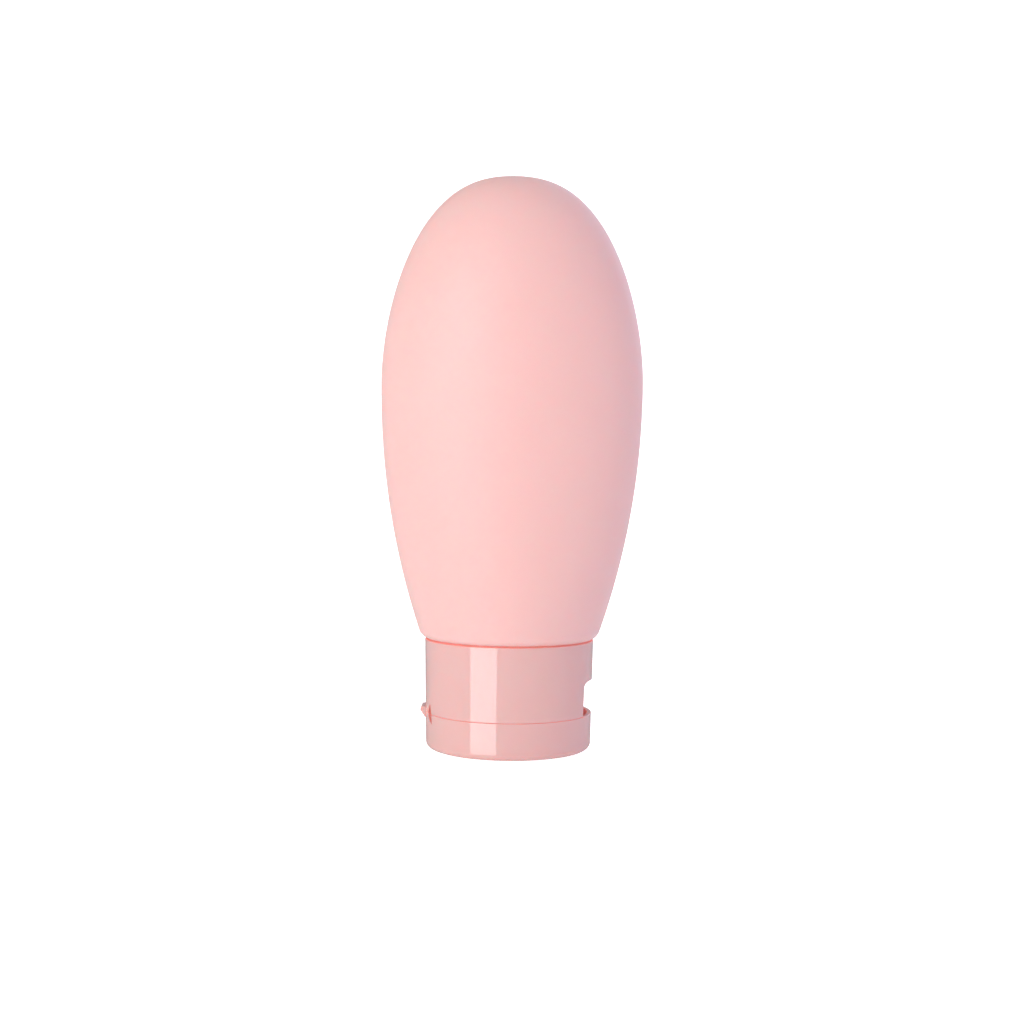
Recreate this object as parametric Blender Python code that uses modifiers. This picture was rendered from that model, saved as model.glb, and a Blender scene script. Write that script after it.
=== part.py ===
"""A squeezable travel bottle that stands upside down on its flip-top closure.

Everything is in metres with +Z up. The lid's standing face is at height zero and the screw thread is
on the Z axis. The lid's living hinge is on the -X side, and the thumb recess is on the +X side.
The closure is one moulding in life. Here its fixed base, its lid and the strap between them are
separate pieces, because they move.
"""

import math

import bmesh
import bpy
from mathutils import Matrix, Vector

# Bottle body, measured from the standing face
OVERALL_HEIGHT = 0.1090
BELLY_HEIGHT = 0.0700
BELLY_HALF_WIDTH = 0.02502
BELLY_HALF_DEPTH = 0.0175
BODY_WALL = 0.0016
SHOULDER_STEP = 0.00063
SHOULDER_CORNER = 0.0016
SHOULDER_FLOOR_ROUND = 0.0020

# Neck
NECK_BORE_RADIUS = 0.00875
NECK_WALL = 0.00205
NECK_ROOT_FILLET = 0.0008
NECK_MOUTH_ROUND = 0.0010
RIM_CHAMFER = 0.0003

# Screw thread, right-handed, with the cap's bead half a lead away from the neck's
THREAD_LEAD = 0.0032
NECK_THREAD_HEIGHT = 0.0011
CAP_THREAD_HEIGHT = 0.00095
THREAD_CREST_GAP = 0.00035
THREAD_SINK = 0.0001

# Closure base
CLOSURE_HEIGHT = 0.0209
SEAM_HEIGHT = 0.0070
SEAM_GAP = 0.0003
SHOULDER_GAP = 0.00035
SKIRT_WALL = 0.00115
SKIRT_SPACING = 0.0014
SKIRT_EDGE_ROUND = 0.00025
INNER_SKIRT_WALL = 0.0011
INNER_SKIRT_SETBACK = 0.0005
DECK_THICKNESS = 0.00125
PLUG_WALL = 0.0008
PLUG_REACH = 0.0015
PLUG_LEAD_IN = 0.00025
SPIGOT_WALL = 0.0011
SPIGOT_REACH = 0.0016
INSIDE_FILLET = 0.0003
RIB_THICKNESS = 0.0008
RIB_SETBACK = 0.0030

# Spout in the closure base
SPOUT_ROOT_RADIUS = 0.0034
SPOUT_TIP_RADIUS = 0.0029
SPOUT_THROAT_RADIUS = 0.0023
SPOUT_FLOOR_GAP = 0.0014
SPOUT_ROOT_FILLET = 0.0006
ORIFICE_RADIUS = 0.00175
ORIFICE_CHAMFER = 0.0004

# Thumb recess in the closure base
RECESS_RISE = 0.0062
RECESS_LEAN = 0.00025
RECESS_FILLET = 0.0014
RECESS_BACKING = 0.0010

# Seal liner
LINER_THICKNESS = 0.0010
LINER_EDGE_GAP = 0.0005

# Lid
LID_WALL = 0.0011
LID_FLOOR = 0.0012
LID_CORNER = 0.0013
LID_INSIDE_CORNER = 0.0008
PIN_REACH = 0.0020
PIN_TAPER = 0.00045
COLLAR_WALL = 0.0008
COLLAR_OVERLAP = 0.0014

# Living hinge strap, with a window slit on each side of it
HINGE_PROUD = 0.00095
HINGE_ABOVE_SEAM = 0.0003
STRAP_WIDTH = 0.0054
STRAP_THICKNESS = 0.0005
STRAP_RISE = 0.0014
STRAP_DROP = 0.0011
STRAP_SHOULDER = 0.00035
STRAP_ROUND = 0.00025
FILM_THICKNESS = 0.00035
POCKET_DEPTH = 0.0006
WINDOW_WIDTH = 0.0029
WINDOW_HEIGHT = 0.0036
WINDOW_STRAP_GAP = 0.0001

# Fits
RUNNING_GAP = 0.0003
SPIGOT_GAP = 0.00045
CUT_OVERRUN = 0.0010
WELD_DISTANCE = 0.00001

# Curves that are not lengths
DOME_WIDTH_POWERS = (1.78, 2.47)
DOME_DEPTH_POWERS = (2.20, 2.35)
SHOULDER_SWEEP_POWER = 2.085
CLOSURE_DRAFT_SHARE = 0.018
NECK_BEAD_SHARE = 0.28
CAP_BEAD_SHARE = 0.234
NECK_THREAD_SHARES = (0.23, 0.66)
CAP_THREAD_END_SHARE = 0.73
BEAD_END_SHARE = 0.35
BEAD_TAPER_SHARE = 0.15
FILLET_ROOM_SHARE = 0.45

# Facets
SIDES = 48
BEAD_SIDES = 8
BEAD_STEPS_PER_TURN = 32
FILLET_STEPS = 2
LID_CORNER_STEPS = 4
DOME_STEPS = 14
SWEEP_STEPS = 10
CORNER_STEPS = 4
CAVITY_DOME_STEPS = 9
CAVITY_SWEEP_STEPS = 7
CAVITY_CORNER_STEPS = 3
WINDOW_STEPS = 4
RIB_COUNT = 8

# Radii, worked out from the neck bore outwards
NECK_RADIUS = NECK_BORE_RADIUS + NECK_WALL
NECK_CREST_RADIUS = NECK_RADIUS + NECK_THREAD_HEIGHT
SOCKET_RADIUS = NECK_CREST_RADIUS + THREAD_CREST_GAP
CAP_CREST_RADIUS = SOCKET_RADIUS - CAP_THREAD_HEIGHT
INNER_SKIRT_RADIUS = SOCKET_RADIUS + INNER_SKIRT_WALL
SKIRT_INNER_RADIUS = INNER_SKIRT_RADIUS + SKIRT_SPACING
SEAM_RADIUS = SKIRT_INNER_RADIUS + SKIRT_WALL
LID_INNER_RADIUS = SEAM_RADIUS - LID_WALL
SPIGOT_RADIUS = LID_INNER_RADIUS - SPIGOT_GAP
PLUG_RADIUS = NECK_BORE_RADIUS - RUNNING_GAP
PIN_RADIUS = ORIFICE_RADIUS - RUNNING_GAP
COLLAR_RADIUS = SPOUT_ROOT_RADIUS + RUNNING_GAP

# Heights, worked out from the standing face upwards
SPOUT_TIP_HEIGHT = LID_FLOOR + SPOUT_FLOOR_GAP
LID_RIM_HEIGHT = SEAM_HEIGHT - SEAM_GAP / 2
DECK_LOW = SEAM_HEIGHT + SEAM_GAP / 2
DECK_HIGH = DECK_LOW + DECK_THICKNESS
LINER_LOW = DECK_HIGH + RUNNING_GAP
RIM_HEIGHT = LINER_LOW + LINER_THICKNESS + RUNNING_GAP
SHOULDER_HEIGHT = CLOSURE_HEIGHT + SHOULDER_GAP
NECK_LENGTH = SHOULDER_HEIGHT - RIM_HEIGHT
INNER_SKIRT_HIGH = CLOSURE_HEIGHT - INNER_SKIRT_SETBACK
NECK_THREAD_LOW = RIM_HEIGHT + NECK_THREAD_SHARES[0] * NECK_LENGTH
NECK_THREAD_HIGH = RIM_HEIGHT + NECK_THREAD_SHARES[1] * NECK_LENGTH
CAP_THREAD_LOW = NECK_THREAD_LOW + THREAD_LEAD / 2
CAP_THREAD_HIGH = RIM_HEIGHT + CAP_THREAD_END_SHARE * NECK_LENGTH

# Hinge axis
HINGE_X = -(SEAM_RADIUS + HINGE_PROUD - FILM_THICKNESS / 2)
HINGE_HEIGHT = SEAM_HEIGHT + HINGE_ABOVE_SEAM


def closure_radius(height):
    """The closure's outer radius at a height, with its moulding draft."""
    return SEAM_RADIUS + CLOSURE_DRAFT_SHARE * (height - SEAM_HEIGHT)


# Scene and materials


def clear_scene():
    for obj in list(bpy.data.objects):
        bpy.data.objects.remove(obj, do_unlink=True)


def new_collection(name):
    collection = bpy.data.collections.new(name)
    bpy.context.scene.collection.children.link(collection)
    return collection


def plastic(name, colour, roughness):
    material = bpy.data.materials.new(name)
    material.use_nodes = True
    shader = material.node_tree.nodes["Principled BSDF"]
    shader.inputs["Base Color"].default_value = (*colour, 1)
    shader.inputs["Roughness"].default_value = roughness
    shader.inputs["Metallic"].default_value = 0
    return material


def placed(name, mesh, collection, material=None):
    """An object for a mesh. One with no material is a cutter or a shape to be joined to a part."""
    obj = bpy.data.objects.new(name, mesh)
    collection.objects.link(obj)
    if material:
        mesh.materials.append(material)
    else:
        obj.hide_render = True
        obj.display_type = "WIRE"
    return obj


def axis_empty(name, collection, location, parent=None):
    """An empty on a joint's axis, which carries the pieces that move on it."""
    empty = bpy.data.objects.new(name, None)
    empty.location = location
    empty.empty_display_size = SEAM_RADIUS
    collection.objects.link(empty)
    if parent:
        carry(parent, empty)
    return empty


def carry(parent, child):
    bpy.context.view_layer.update()
    child.parent = parent
    child.matrix_parent_inverse = parent.matrix_world.inverted()


# Outlines


def rounded(corners, closed, steps=FILLET_STEPS):
    """The outline through corners (across, up, fillet), each fillet an arc tangent to its two sides."""
    points = []
    for index, (across, up, fillet) in enumerate(corners):
        corner = Vector((across, up))
        is_end = not closed and index in (0, len(corners) - 1)
        if is_end or fillet == 0:
            points.append(corner)
            continue
        to_last = Vector(corners[index - 1][:2]) - corner
        to_next = Vector(corners[(index + 1) % len(corners)][:2]) - corner
        half_angle = to_last.angle(to_next) / 2
        room = FILLET_ROOM_SHARE * min(to_last.length, to_next.length)
        radius = min(fillet, room * math.tan(half_angle))
        middle = (to_last.normalized() + to_next.normalized()).normalized()
        centre = corner + middle * radius / math.sin(half_angle)
        turn = math.pi - 2 * half_angle
        if to_last.cross(to_next) > 0:
            turn = -turn
        start = corner + to_last.normalized() * radius / math.tan(half_angle) - centre
        for step in range(steps + 1):
            swung = Matrix.Rotation(turn * step / steps, 2) @ start
            points.append(centre + swung)
    return points


def arc_points(radius, first_angle, last_angle, steps):
    angles = [first_angle + (last_angle - first_angle) * step / steps for step in range(steps + 1)]
    return [Vector((radius * math.cos(angle), radius * math.sin(angle))) for angle in angles]


# Solids


def turned(name, outline, closed, collection, material=None):
    """A turned solid about the Z axis. Its outline runs down the outer side."""
    mesh = bpy.data.meshes.new(name)
    edges = [(index, index + 1) for index in range(len(outline) - 1)]
    if closed:
        edges.append((len(outline) - 1, 0))
    mesh.from_pydata([(across, 0, up) for across, up in outline], edges, [])
    obj = placed(name, mesh, collection, material)
    screw = obj.modifiers.new("turn", "SCREW")
    screw.steps = SIDES
    screw.render_steps = SIDES
    screw.use_smooth_shade = True
    screw.use_merge_vertices = True
    screw.merge_threshold = WELD_DISTANCE
    return obj


def lofted(name, sections, collection, material=None):
    """A closed skin over elliptical sections (half width, half depth, height), listed from the top.

    A section of no width closes to a point, and an end section that has width gets a flat cap.
    """
    shape = bmesh.new()
    rings = []
    for half_width, half_depth, height in sections:
        if half_width == 0:
            rings.append([shape.verts.new((0, 0, height))])
            continue
        turns = [2 * math.pi * side / SIDES for side in range(SIDES)]
        rings.append(
            [shape.verts.new((half_width * math.cos(t), half_depth * math.sin(t), height)) for t in turns]
        )
    for upper, lower in zip(rings, rings[1:]):
        for side in range(SIDES):
            after = (side + 1) % SIDES
            if len(upper) == 1:
                shape.faces.new((upper[0], lower[side], lower[after]))
            else:
                shape.faces.new((upper[side], lower[side], lower[after], upper[after]))
    shape.faces.new(reversed(rings[-1]))
    bmesh.ops.recalc_face_normals(shape, faces=shape.faces)
    mesh = bpy.data.meshes.new(name)
    shape.to_mesh(mesh)
    shape.free()
    mesh.shade_smooth()
    mesh.set_sharp_from_angle(angle=math.radians(35))
    return placed(name, mesh, collection, material)


def extruded(name, outline, thickness, place, collection, material=None):
    """A flat outline given a thickness, as a mesh, with its middle plane moved to a place matrix."""
    curve = bpy.data.curves.new(name, "CURVE")
    curve.dimensions = "2D"
    curve.fill_mode = "BOTH"
    curve.extrude = thickness / 2
    spline = curve.splines.new("POLY")
    spline.points.add(len(outline) - 1)
    for point, (across, up) in zip(spline.points, outline):
        point.co = (across, up, 0, 1)
    spline.use_cyclic_u = True
    guide = bpy.data.objects.new(name + "_outline", curve)
    guide.matrix_world = place
    collection.objects.link(guide)
    bpy.context.view_layer.update()
    graph = bpy.context.evaluated_depsgraph_get()
    mesh = bpy.data.meshes.new_from_object(guide.evaluated_get(graph))
    mesh.name = name
    shape = bmesh.new()
    shape.from_mesh(mesh)
    bmesh.ops.remove_doubles(shape, verts=shape.verts, dist=WELD_DISTANCE)
    bmesh.ops.recalc_face_normals(shape, faces=shape.faces)
    shape.to_mesh(mesh)
    shape.free()
    obj = placed(name, mesh, collection, material)
    obj.matrix_world = guide.matrix_world.copy()
    bpy.data.objects.remove(guide, do_unlink=True)
    return obj


def thread_bead(name, wall_radius, crest_radius, bead_radius, low, high, collection):
    """A round bead along a right-handed helix, from one height to another.

    Its crest rises from the wall at one end and sinks back into it at the other. The bead thins
    with it, so that both ends are lost inside the wall.
    """
    turns = (high - low) / THREAD_LEAD
    steps = math.ceil(turns * BEAD_STEPS_PER_TURN)
    outward = math.copysign(1, crest_radius - wall_radius)
    shape = bmesh.new()
    rings = []
    for step in range(steps + 1):
        along = step / steps
        rise = min(along, 1 - along, BEAD_TAPER_SHARE) / BEAD_TAPER_SHARE
        size = bead_radius * (BEAD_END_SHARE + (1 - BEAD_END_SHARE) * rise)
        sunk_crest = wall_radius - outward * THREAD_SINK
        crest = sunk_crest + (crest_radius - sunk_crest) * rise
        centre = crest - outward * size
        height = low + (high - low) * along
        turn = Matrix.Rotation(2 * math.pi * (height - low) / THREAD_LEAD, 3, "Z")
        ring = []
        for across, up in arc_points(size, 0, 2 * math.pi, BEAD_SIDES)[:-1]:
            ring.append(shape.verts.new(turn @ Vector((centre + across, 0, height + up))))
        rings.append(ring)
    for lower, upper in zip(rings, rings[1:]):
        for side in range(BEAD_SIDES):
            after = (side + 1) % BEAD_SIDES
            shape.faces.new((lower[side], lower[after], upper[after], upper[side]))
    shape.faces.new(rings[0])
    shape.faces.new(reversed(rings[-1]))
    bmesh.ops.recalc_face_normals(shape, faces=shape.faces)
    mesh = bpy.data.meshes.new(name)
    shape.to_mesh(mesh)
    shape.free()
    return placed(name, mesh, collection)


def combine(obj, other, operation):
    boolean = obj.modifiers.new(other.name, "BOOLEAN")
    boolean.operation = operation
    boolean.object = other
    boolean.solver = "EXACT"


# Bottle body


def dome_section(half_width, half_depth, rise, angle):
    """A section of the domed top, an angle above the belly: superellipses in front and side view."""
    width_rise, width_close = DOME_WIDTH_POWERS
    depth_rise, depth_close = DOME_DEPTH_POWERS
    up_share = math.sin(angle)
    width_share = max(0, 1 - up_share**width_rise) ** (1 / width_close)
    depth_share = max(0, 1 - up_share**depth_rise) ** (1 / depth_close)
    return half_width * width_share, half_depth * depth_share, BELLY_HEIGHT + rise * up_share


def body_sections(inset, dome_steps, sweep_steps, corner_steps, corner_radius):
    """Sections from the top of the dome down round the shoulder's corner, inset from the outside.

    Below the belly the side closes in by a power of the drop. At the bottom a quarter circle is
    taken off it, which leaves a rounded corner on an underside that is flat.
    """
    half_width = BELLY_HALF_WIDTH - inset
    half_depth = BELLY_HALF_DEPTH - inset
    shoulder = closure_radius(CLOSURE_HEIGHT) + SHOULDER_STEP - inset
    floor = SHOULDER_HEIGHT + inset
    rise = OVERALL_HEIGHT - inset - BELLY_HEIGHT
    sections = [(0, 0, BELLY_HEIGHT + rise)]
    for step in range(1, dome_steps + 1):
        angle = math.pi / 2 * (1 - step / dome_steps)
        sections.append(dome_section(half_width, half_depth, rise, angle))
    corner_start = floor + corner_radius
    drops = [(BELLY_HEIGHT - corner_start) * step / sweep_steps for step in range(1, sweep_steps + 1)]
    trims = [0 for _ in drops]
    for step in range(1, corner_steps + 1):
        angle = math.pi / 2 * step / corner_steps
        drops.append(BELLY_HEIGHT - corner_start + corner_radius * math.sin(angle))
        trims.append(corner_radius * (1 - math.cos(angle)))
    for drop, trim in zip(drops, trims):
        share = (drop / (BELLY_HEIGHT - floor)) ** SHOULDER_SWEEP_POWER
        width_now = half_width - (half_width - shoulder) * share - trim
        depth_now = half_depth - (half_depth - shoulder) * share - trim
        sections.append((width_now, depth_now, BELLY_HEIGHT - drop))
    return sections


def round_sections(outline):
    return [(radius, radius, height) for radius, height in outline]


def make_bottle_body(parts, cutters, material):
    outside = body_sections(0, DOME_STEPS, SWEEP_STEPS, CORNER_STEPS, SHOULDER_CORNER)
    outside_neck = rounded(
        [
            (outside[-1][1], SHOULDER_HEIGHT, 0),
            (NECK_RADIUS, SHOULDER_HEIGHT, NECK_ROOT_FILLET),
            (NECK_RADIUS, RIM_HEIGHT + RIM_CHAMFER, 0),
            (NECK_RADIUS - RIM_CHAMFER, RIM_HEIGHT, 0),
        ],
        closed=False,
    )
    body = lofted("bottle_body", outside + round_sections(outside_neck[1:]), parts, material)

    inside = body_sections(
        BODY_WALL, CAVITY_DOME_STEPS, CAVITY_SWEEP_STEPS, CAVITY_CORNER_STEPS, SHOULDER_FLOOR_ROUND
    )
    inside_floor = SHOULDER_HEIGHT + BODY_WALL
    inside_neck = rounded(
        [
            (inside[-1][1], inside_floor, 0),
            (NECK_BORE_RADIUS, inside_floor, NECK_MOUTH_ROUND),
            (NECK_BORE_RADIUS, RIM_HEIGHT - CUT_OVERRUN, 0),
        ],
        closed=False,
    )
    cavity = lofted("body_cavity", inside + round_sections(inside_neck[1:]), cutters)
    combine(body, cavity, "DIFFERENCE")

    thread = thread_bead(
        "neck_thread",
        NECK_RADIUS,
        NECK_CREST_RADIUS,
        NECK_BEAD_SHARE * THREAD_LEAD,
        NECK_THREAD_LOW,
        NECK_THREAD_HIGH,
        cutters,
    )
    combine(body, thread, "UNION")
    return body


# Seal liner


def make_seal_liner(parts, material):
    inner = PLUG_RADIUS + RUNNING_GAP
    outer = SOCKET_RADIUS - LINER_EDGE_GAP
    high = LINER_LOW + LINER_THICKNESS
    outline = rounded(
        [(outer, high, 0), (outer, LINER_LOW, 0), (inner, LINER_LOW, 0), (inner, high, 0)],
        closed=True,
    )
    return turned("seal_liner", outline, True, parts, material)


# Hinge openings that the closure base and the lid share


def upright(angle):
    """A matrix that stands a flat outline up to face outwards at an angle round the Z axis."""
    quarter = math.pi / 2
    return Matrix.Rotation(angle + quarter, 4, "Z") @ Matrix.Rotation(quarter, 4, "X")


def make_hinge_windows(cutters):
    """Two lens-shaped slits through the wall, across the seam, one on each side of the strap."""
    half_width = WINDOW_WIDTH / 2
    half_height = WINDOW_HEIGHT / 2
    side_radius = (half_width**2 + half_height**2) / (2 * half_width)
    side_angle = math.asin(half_height / side_radius)
    side = arc_points(side_radius, -side_angle, side_angle, WINDOW_STEPS)
    offset = Vector((side_radius - half_width, 0))
    right = [point - offset for point in side]
    left = [-point for point in right]
    outline = right + left[1:-1]
    depth = SEAM_RADIUS - SPIGOT_RADIUS + CUT_OVERRUN
    middle_radius = SPIGOT_RADIUS + depth / 2
    swing = math.asin((STRAP_WIDTH / 2 + WINDOW_STRAP_GAP + half_width) / SEAM_RADIUS)
    windows = []
    for label, angle in (("near", math.pi + swing), ("far", math.pi - swing)):
        centre = Matrix.Rotation(angle, 4, "Z") @ Vector((middle_radius, 0, SEAM_HEIGHT))
        place = Matrix.Translation(centre) @ upright(angle)
        windows.append(extruded("hinge_window_" + label, outline, depth, place, cutters))
    return windows


def make_strap_pocket(cutters):
    """A shallow pocket in both walls, in which the feet of the hinge strap lie."""
    shape = bmesh.new()
    bmesh.ops.create_cube(shape, size=1)
    depth = POCKET_DEPTH + HINGE_PROUD
    low = SEAM_HEIGHT - STRAP_DROP - RUNNING_GAP
    high = SEAM_HEIGHT + STRAP_RISE + RUNNING_GAP
    bmesh.ops.scale(shape, vec=(depth, STRAP_WIDTH + 2 * RUNNING_GAP, high - low), verts=shape.verts)
    inner_x = -(SEAM_RADIUS - POCKET_DEPTH)
    bmesh.ops.translate(shape, vec=(inner_x - depth / 2, 0, (low + high) / 2), verts=shape.verts)
    mesh = bpy.data.meshes.new("strap_pocket")
    shape.to_mesh(mesh)
    shape.free()
    return placed("strap_pocket", mesh, cutters)


# Closure base


def closure_base_outline():
    """Down the outer skirt, in under the deck, round the spout, and back up over plug and skirts."""
    spigot_low = DECK_LOW - SPIGOT_REACH
    spigot_inner = SPIGOT_RADIUS - SPIGOT_WALL
    plug_high = RIM_HEIGHT + PLUG_REACH
    plug_inner = PLUG_RADIUS - PLUG_WALL
    throat_low = SPOUT_TIP_HEIGHT + ORIFICE_CHAMFER
    return rounded(
        [
            (closure_radius(CLOSURE_HEIGHT), CLOSURE_HEIGHT, SKIRT_EDGE_ROUND),
            (closure_radius(DECK_LOW), DECK_LOW, 0),
            (SPIGOT_RADIUS, DECK_LOW, 0),
            (SPIGOT_RADIUS, spigot_low, INSIDE_FILLET),
            (spigot_inner, spigot_low, 0),
            (spigot_inner, DECK_LOW, 0),
            (SPOUT_ROOT_RADIUS, DECK_LOW, SPOUT_ROOT_FILLET),
            (SPOUT_TIP_RADIUS, SPOUT_TIP_HEIGHT, INSIDE_FILLET),
            (ORIFICE_RADIUS + ORIFICE_CHAMFER, SPOUT_TIP_HEIGHT, 0),
            (ORIFICE_RADIUS, throat_low, 0),
            (SPOUT_THROAT_RADIUS, DECK_HIGH, 0),
            (plug_inner, DECK_HIGH, 0),
            (plug_inner, plug_high, 0),
            (PLUG_RADIUS - PLUG_LEAD_IN, plug_high, 0),
            (PLUG_RADIUS, RIM_HEIGHT, 0),
            (PLUG_RADIUS, DECK_HIGH, 0),
            (SOCKET_RADIUS, DECK_HIGH, 0),
            (SOCKET_RADIUS, INNER_SKIRT_HIGH, INSIDE_FILLET),
            (INNER_SKIRT_RADIUS, INNER_SKIRT_HIGH, 0),
            (INNER_SKIRT_RADIUS, DECK_HIGH, 0),
            (SKIRT_INNER_RADIUS, DECK_HIGH, 0),
            (SKIRT_INNER_RADIUS, CLOSURE_HEIGHT, 0),
        ],
        closed=True,
    )


def make_recess_backing(cutters):
    """A solid segment between the two skirts, which closes the space behind the thumb recess."""
    chord = (SOCKET_RADIUS + INNER_SKIRT_RADIUS) / 2
    reach = (SKIRT_INNER_RADIUS + SEAM_RADIUS) / 2
    angle = math.acos(chord / reach)
    low = (DECK_LOW + DECK_HIGH) / 2
    high = SEAM_HEIGHT + RECESS_RISE + RECESS_BACKING
    outline = arc_points(reach, -angle, angle, CORNER_STEPS + CORNER_STEPS)
    place = Matrix.Translation((0, 0, (low + high) / 2))
    return extruded("recess_backing", outline, high - low, place, cutters)


def make_thumb_recess(cutters):
    """The cut that makes the thumb recess: a leaning floor under a rounded top, straight along Y."""
    high = SEAM_HEIGHT + RECESS_RISE
    low = DECK_LOW - SEAM_GAP
    outside = closure_radius(CLOSURE_HEIGHT) + CUT_OVERRUN
    outline = rounded(
        [
            (SPIGOT_RADIUS, low, 0),
            (outside, low, 0),
            (outside, high, 0),
            (SPIGOT_RADIUS + RECESS_LEAN, high, RECESS_FILLET),
        ],
        closed=True,
        steps=CORNER_STEPS,
    )
    place = Matrix.Rotation(math.pi / 2, 4, "X")
    return extruded("thumb_recess", outline, 2 * SEAM_RADIUS, place, cutters)


def make_skirt_ribs(cutters):
    """Radial ribs that tie the threaded inner skirt to the outer one."""
    inner = (SOCKET_RADIUS + INNER_SKIRT_RADIUS) / 2
    outer = (SKIRT_INNER_RADIUS + SEAM_RADIUS) / 2
    low = (DECK_LOW + DECK_HIGH) / 2
    high = INNER_SKIRT_HIGH - RIB_SETBACK
    shape = bmesh.new()
    for rib in range(RIB_COUNT):
        turn = Matrix.Rotation(2 * math.pi * (rib + 1 / 2) / RIB_COUNT, 4, "Z")
        middle = Matrix.Translation(((inner + outer) / 2, 0, (low + high) / 2))
        size = Matrix.Diagonal((outer - inner, RIB_THICKNESS, high - low, 1))
        bmesh.ops.create_cube(shape, size=1, matrix=turn @ middle @ size)
    mesh = bpy.data.meshes.new("skirt_ribs")
    shape.to_mesh(mesh)
    shape.free()
    return placed("skirt_ribs", mesh, cutters)


def make_cap_base(parts, cutters, hinge_cuts, material):
    base = turned("cap_base", closure_base_outline(), True, parts, material)
    thread = thread_bead(
        "cap_thread",
        SOCKET_RADIUS,
        CAP_CREST_RADIUS,
        CAP_BEAD_SHARE * THREAD_LEAD,
        CAP_THREAD_LOW,
        CAP_THREAD_HIGH,
        cutters,
    )
    for added in (make_recess_backing(cutters), make_skirt_ribs(cutters), thread):
        combine(base, added, "UNION")
    for cut in (make_thumb_recess(cutters), *hinge_cuts):
        combine(base, cut, "DIFFERENCE")
    return base


# Lid


def make_cap_lid(parts, hinge_cuts, material):
    """A shallow cup with the pin that seals the orifice and a collar round the spout."""
    pin_tip = SPOUT_TIP_HEIGHT + PIN_REACH
    collar_high = SPOUT_TIP_HEIGHT + COLLAR_OVERLAP
    collar_outer = COLLAR_RADIUS + COLLAR_WALL
    inside = rounded(
        [
            (0, pin_tip, 0),
            (PIN_RADIUS - PIN_TAPER, pin_tip, INSIDE_FILLET),
            (PIN_RADIUS, SPOUT_TIP_HEIGHT, 0),
            (PIN_RADIUS, LID_FLOOR, 0),
            (COLLAR_RADIUS, LID_FLOOR, 0),
            (COLLAR_RADIUS, collar_high, INSIDE_FILLET),
            (collar_outer, collar_high, 0),
            (collar_outer, LID_FLOOR, 0),
            (LID_INNER_RADIUS, LID_FLOOR, LID_INSIDE_CORNER),
            (LID_INNER_RADIUS, LID_RIM_HEIGHT, 0),
            (closure_radius(LID_RIM_HEIGHT), LID_RIM_HEIGHT, 0),
        ],
        closed=False,
    )
    outside = rounded(
        [
            (closure_radius(LID_RIM_HEIGHT), LID_RIM_HEIGHT, 0),
            (closure_radius(0), 0, LID_CORNER),
            (0, 0, 0),
        ],
        closed=False,
        steps=LID_CORNER_STEPS,
    )
    lid = turned("cap_lid", inside + outside[1:], False, parts, material)
    for cut in hinge_cuts:
        combine(lid, cut, "DIFFERENCE")
    return lid


# Living hinge


def make_living_hinge(parts, material):
    """The folded strap: two leaves that lean out of the wall and meet in a thin film at the axis."""
    foot = -(SEAM_RADIUS - POCKET_DEPTH + RUNNING_GAP)
    film_outside = -(SEAM_RADIUS + HINGE_PROUD)
    high = SEAM_HEIGHT + STRAP_RISE
    low = SEAM_HEIGHT - STRAP_DROP
    outline = rounded(
        [
            (foot, high, 0),
            (-(SEAM_RADIUS + STRAP_SHOULDER), high, STRAP_ROUND),
            (film_outside, HINGE_HEIGHT, STRAP_ROUND),
            (-SEAM_RADIUS, low, STRAP_ROUND),
            (foot, low, 0),
            (foot, low + STRAP_THICKNESS, 0),
            (film_outside + FILM_THICKNESS, HINGE_HEIGHT, 0),
            (foot, high - STRAP_THICKNESS, 0),
        ],
        closed=True,
    )
    place = Matrix.Rotation(math.pi / 2, 4, "X")
    return extruded("living_hinge", outline, STRAP_WIDTH, place, parts, material)


def main():
    clear_scene()
    parts = new_collection("travel_bottle")
    cutters = new_collection("cutters")
    soft_matte = plastic("soft_matte_plastic", (0.93, 0.58, 0.56), 0.55)
    gloss = plastic("gloss_plastic", (0.90, 0.55, 0.54), 0.18)
    foam = plastic("liner_foam", (0.86, 0.86, 0.84), 0.80)

    hinge_cuts = [*make_hinge_windows(cutters), make_strap_pocket(cutters)]
    make_bottle_body(parts, cutters, soft_matte)
    liner = make_seal_liner(parts, foam)
    base = make_cap_base(parts, cutters, hinge_cuts, gloss)
    lid = make_cap_lid(parts, hinge_cuts, gloss)
    strap = make_living_hinge(parts, gloss)

    lift_axis = axis_empty("cap_lift_axis", parts, (0, 0, RIM_HEIGHT))
    turn_axis = axis_empty("cap_turn_axis", parts, (0, 0, SEAM_HEIGHT), lift_axis)
    lid_axis = axis_empty("lid_hinge_axis", parts, (HINGE_X, 0, HINGE_HEIGHT), turn_axis)
    carry(lift_axis, liner)
    carry(turn_axis, base)
    carry(turn_axis, strap)
    carry(lid_axis, lid)


main()
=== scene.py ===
"""The looks of a travel bottle that stands upside down on its flip-top closure.

Everything is in metres with +Z up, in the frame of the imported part: the lid's standing face is at
height zero, the screw thread is on the Z axis, the lid's hinge is on the -X side and the thumb
recess on the +X side. Each piece replaces one rigid node and keeps its place. The camera looks
along +Y and a little down, from half the bottle's height.
"""

import math

import bmesh
import bpy
import numpy as np
from mathutils import Matrix, Vector


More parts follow.
